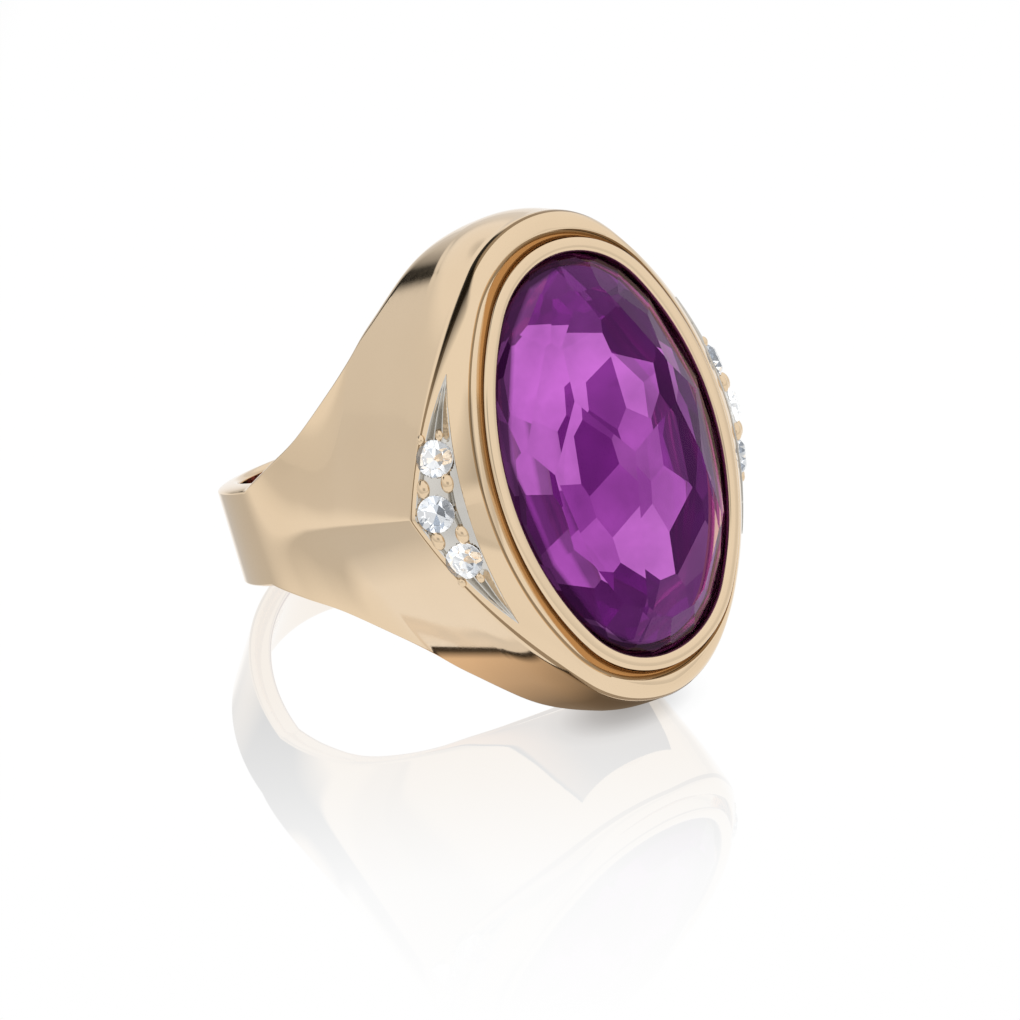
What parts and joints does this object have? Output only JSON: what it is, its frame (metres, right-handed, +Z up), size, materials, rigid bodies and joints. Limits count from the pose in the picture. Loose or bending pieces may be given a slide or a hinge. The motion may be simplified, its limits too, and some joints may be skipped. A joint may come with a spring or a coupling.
{
  "type": "cocktail ring",
  "caption": "Gold cocktail ring with a large oval violet stone in a raised bezel, a trumpet-shaped tall head and a crescent of small round stones on each side.",
  "frame": {"origin": "centre of the finger hole, halfway across the band", "axes": "the ring rests on its side as such rings are laid down, +Z up; +X runs across the finger along the stone's short axis; the stone looks towards -Y, tipped 24 degrees up, and the finger hole's axis is the mount's axis"},
  "size_m": [0.0196, 0.0289, 0.0233],
  "materials": {
    "yellow_gold": "mirror-polished pale yellow-rose 14 carat gold",
    "white_gold": "bright-cut rhodium-plated white gold",
    "amethyst": "polished faceted violet quartz",
    "diamond": "polished colourless round brilliant"
  },
  "bodies": {
    "root": {"ring_body": "yellow_gold", "bezel": "yellow_gold", "stone_seat": "yellow_gold", "amethyst": "amethyst", "crescent_left": "white_gold", "crescent_right": "white_gold", "diamond_left_north": "diamond", "diamond_left_middle": "diamond", "diamond_left_south": "diamond", "diamond_right_north": "diamond", "diamond_right_middle": "diamond", "diamond_right_south": "diamond", "beads_left": "white_gold", "beads_right": "white_gold"}
  },
  "joints": []
}
